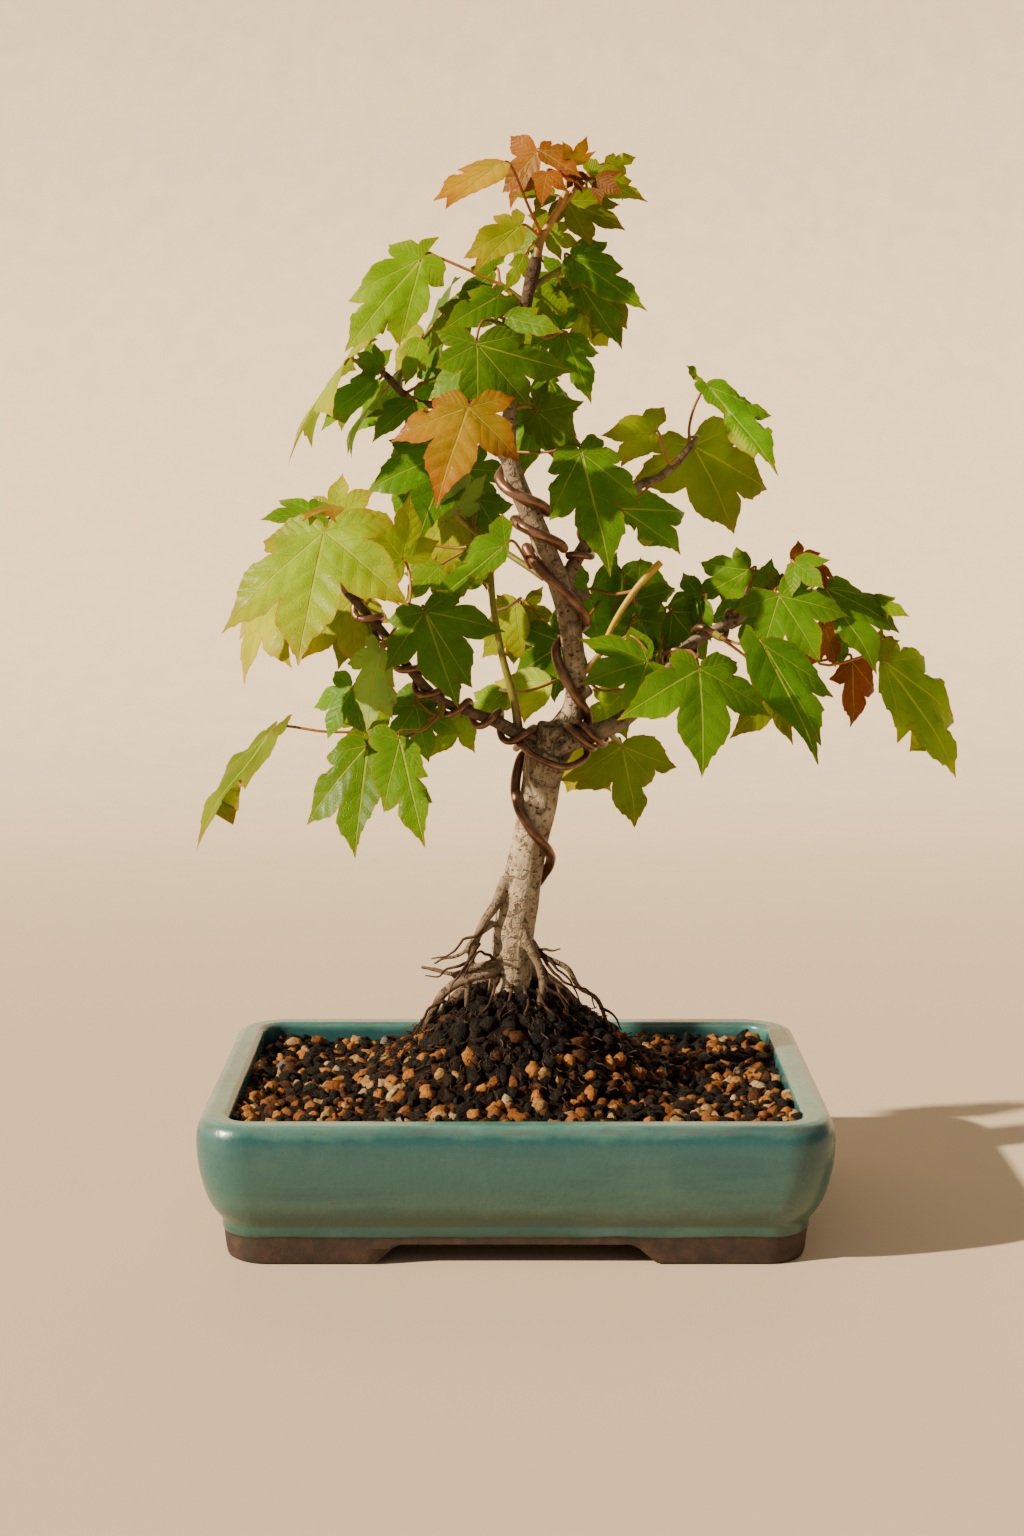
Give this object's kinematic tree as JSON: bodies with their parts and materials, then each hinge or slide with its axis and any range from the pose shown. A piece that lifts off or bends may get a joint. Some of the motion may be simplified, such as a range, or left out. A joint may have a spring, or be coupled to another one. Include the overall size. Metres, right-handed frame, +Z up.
{
  "type": "sweetgum bonsai",
  "caption": "Young sweetgum bonsai with star-shaped green and bronze leaves and a wired trunk, growing in a rectangular turquoise glazed pot of granular soil.",
  "frame": {"origin": "bottom centre of the whole object's box, on the surface that it stands on", "axes": "+Z up, the pot's long side along X, the front of the tree towards -Y"},
  "size_m": [0.3294, 0.188, 0.4402],
  "materials": {
    "turquoise_glaze": "satin glaze over dark brown clay",
    "soil_grains": "matte, loose grains",
    "bark": "matte bark",
    "copper_wire": "satin, copper-brown",
    "plastic_mesh": "matte",
    "green_leaf": "satin leaf",
    "bright_leaf": "satin leaf",
    "bronze_leaf": "satin leaf"
  },
  "bodies": {
    "root": {"pot": "turquoise_glaze", "soil": "soil_grains", "tree": "bark", "trunk_wire": "copper_wire", "branch_wire": "copper_wire", "right_branch_wire": "copper_wire", "upper_branch_wire": "copper_wire", "drain_mesh_left": "plastic_mesh", "drain_mesh_right": "plastic_mesh", "crown": "bright_leaf", "young_crown": "bronze_leaf", "crown_right": "green_leaf", "crown_left": "bright_leaf", "front_left": "green_leaf", "front_left_2": "green_leaf", "bronze_leaf": "bronze_leaf", "upper_left": "bright_leaf", "upper_left_2": "bright_leaf", "upper_left_3": "bright_leaf", "mid_left": "green_leaf", "low_front_left": "green_leaf", "left_tip": "bright_leaf", "left_middle": "green_leaf", "left_low": "green_leaf", "green_shoot": "bright_leaf", "inner": "green_leaf", "front_right": "green_leaf", "leader_leaves": "green_leaf", "upper_right": "bright_leaf", "upper_right_2": "bright_leaf", "upper_right_3": "bright_leaf", "yellow_shoot": "green_leaf", "right_front": "green_leaf", "right_middle": "green_leaf", "right_behind": "green_leaf", "hanging": "green_leaf", "right_tip": "bright_leaf", "young_right": "bronze_leaf"}
  },
  "joints": []
}
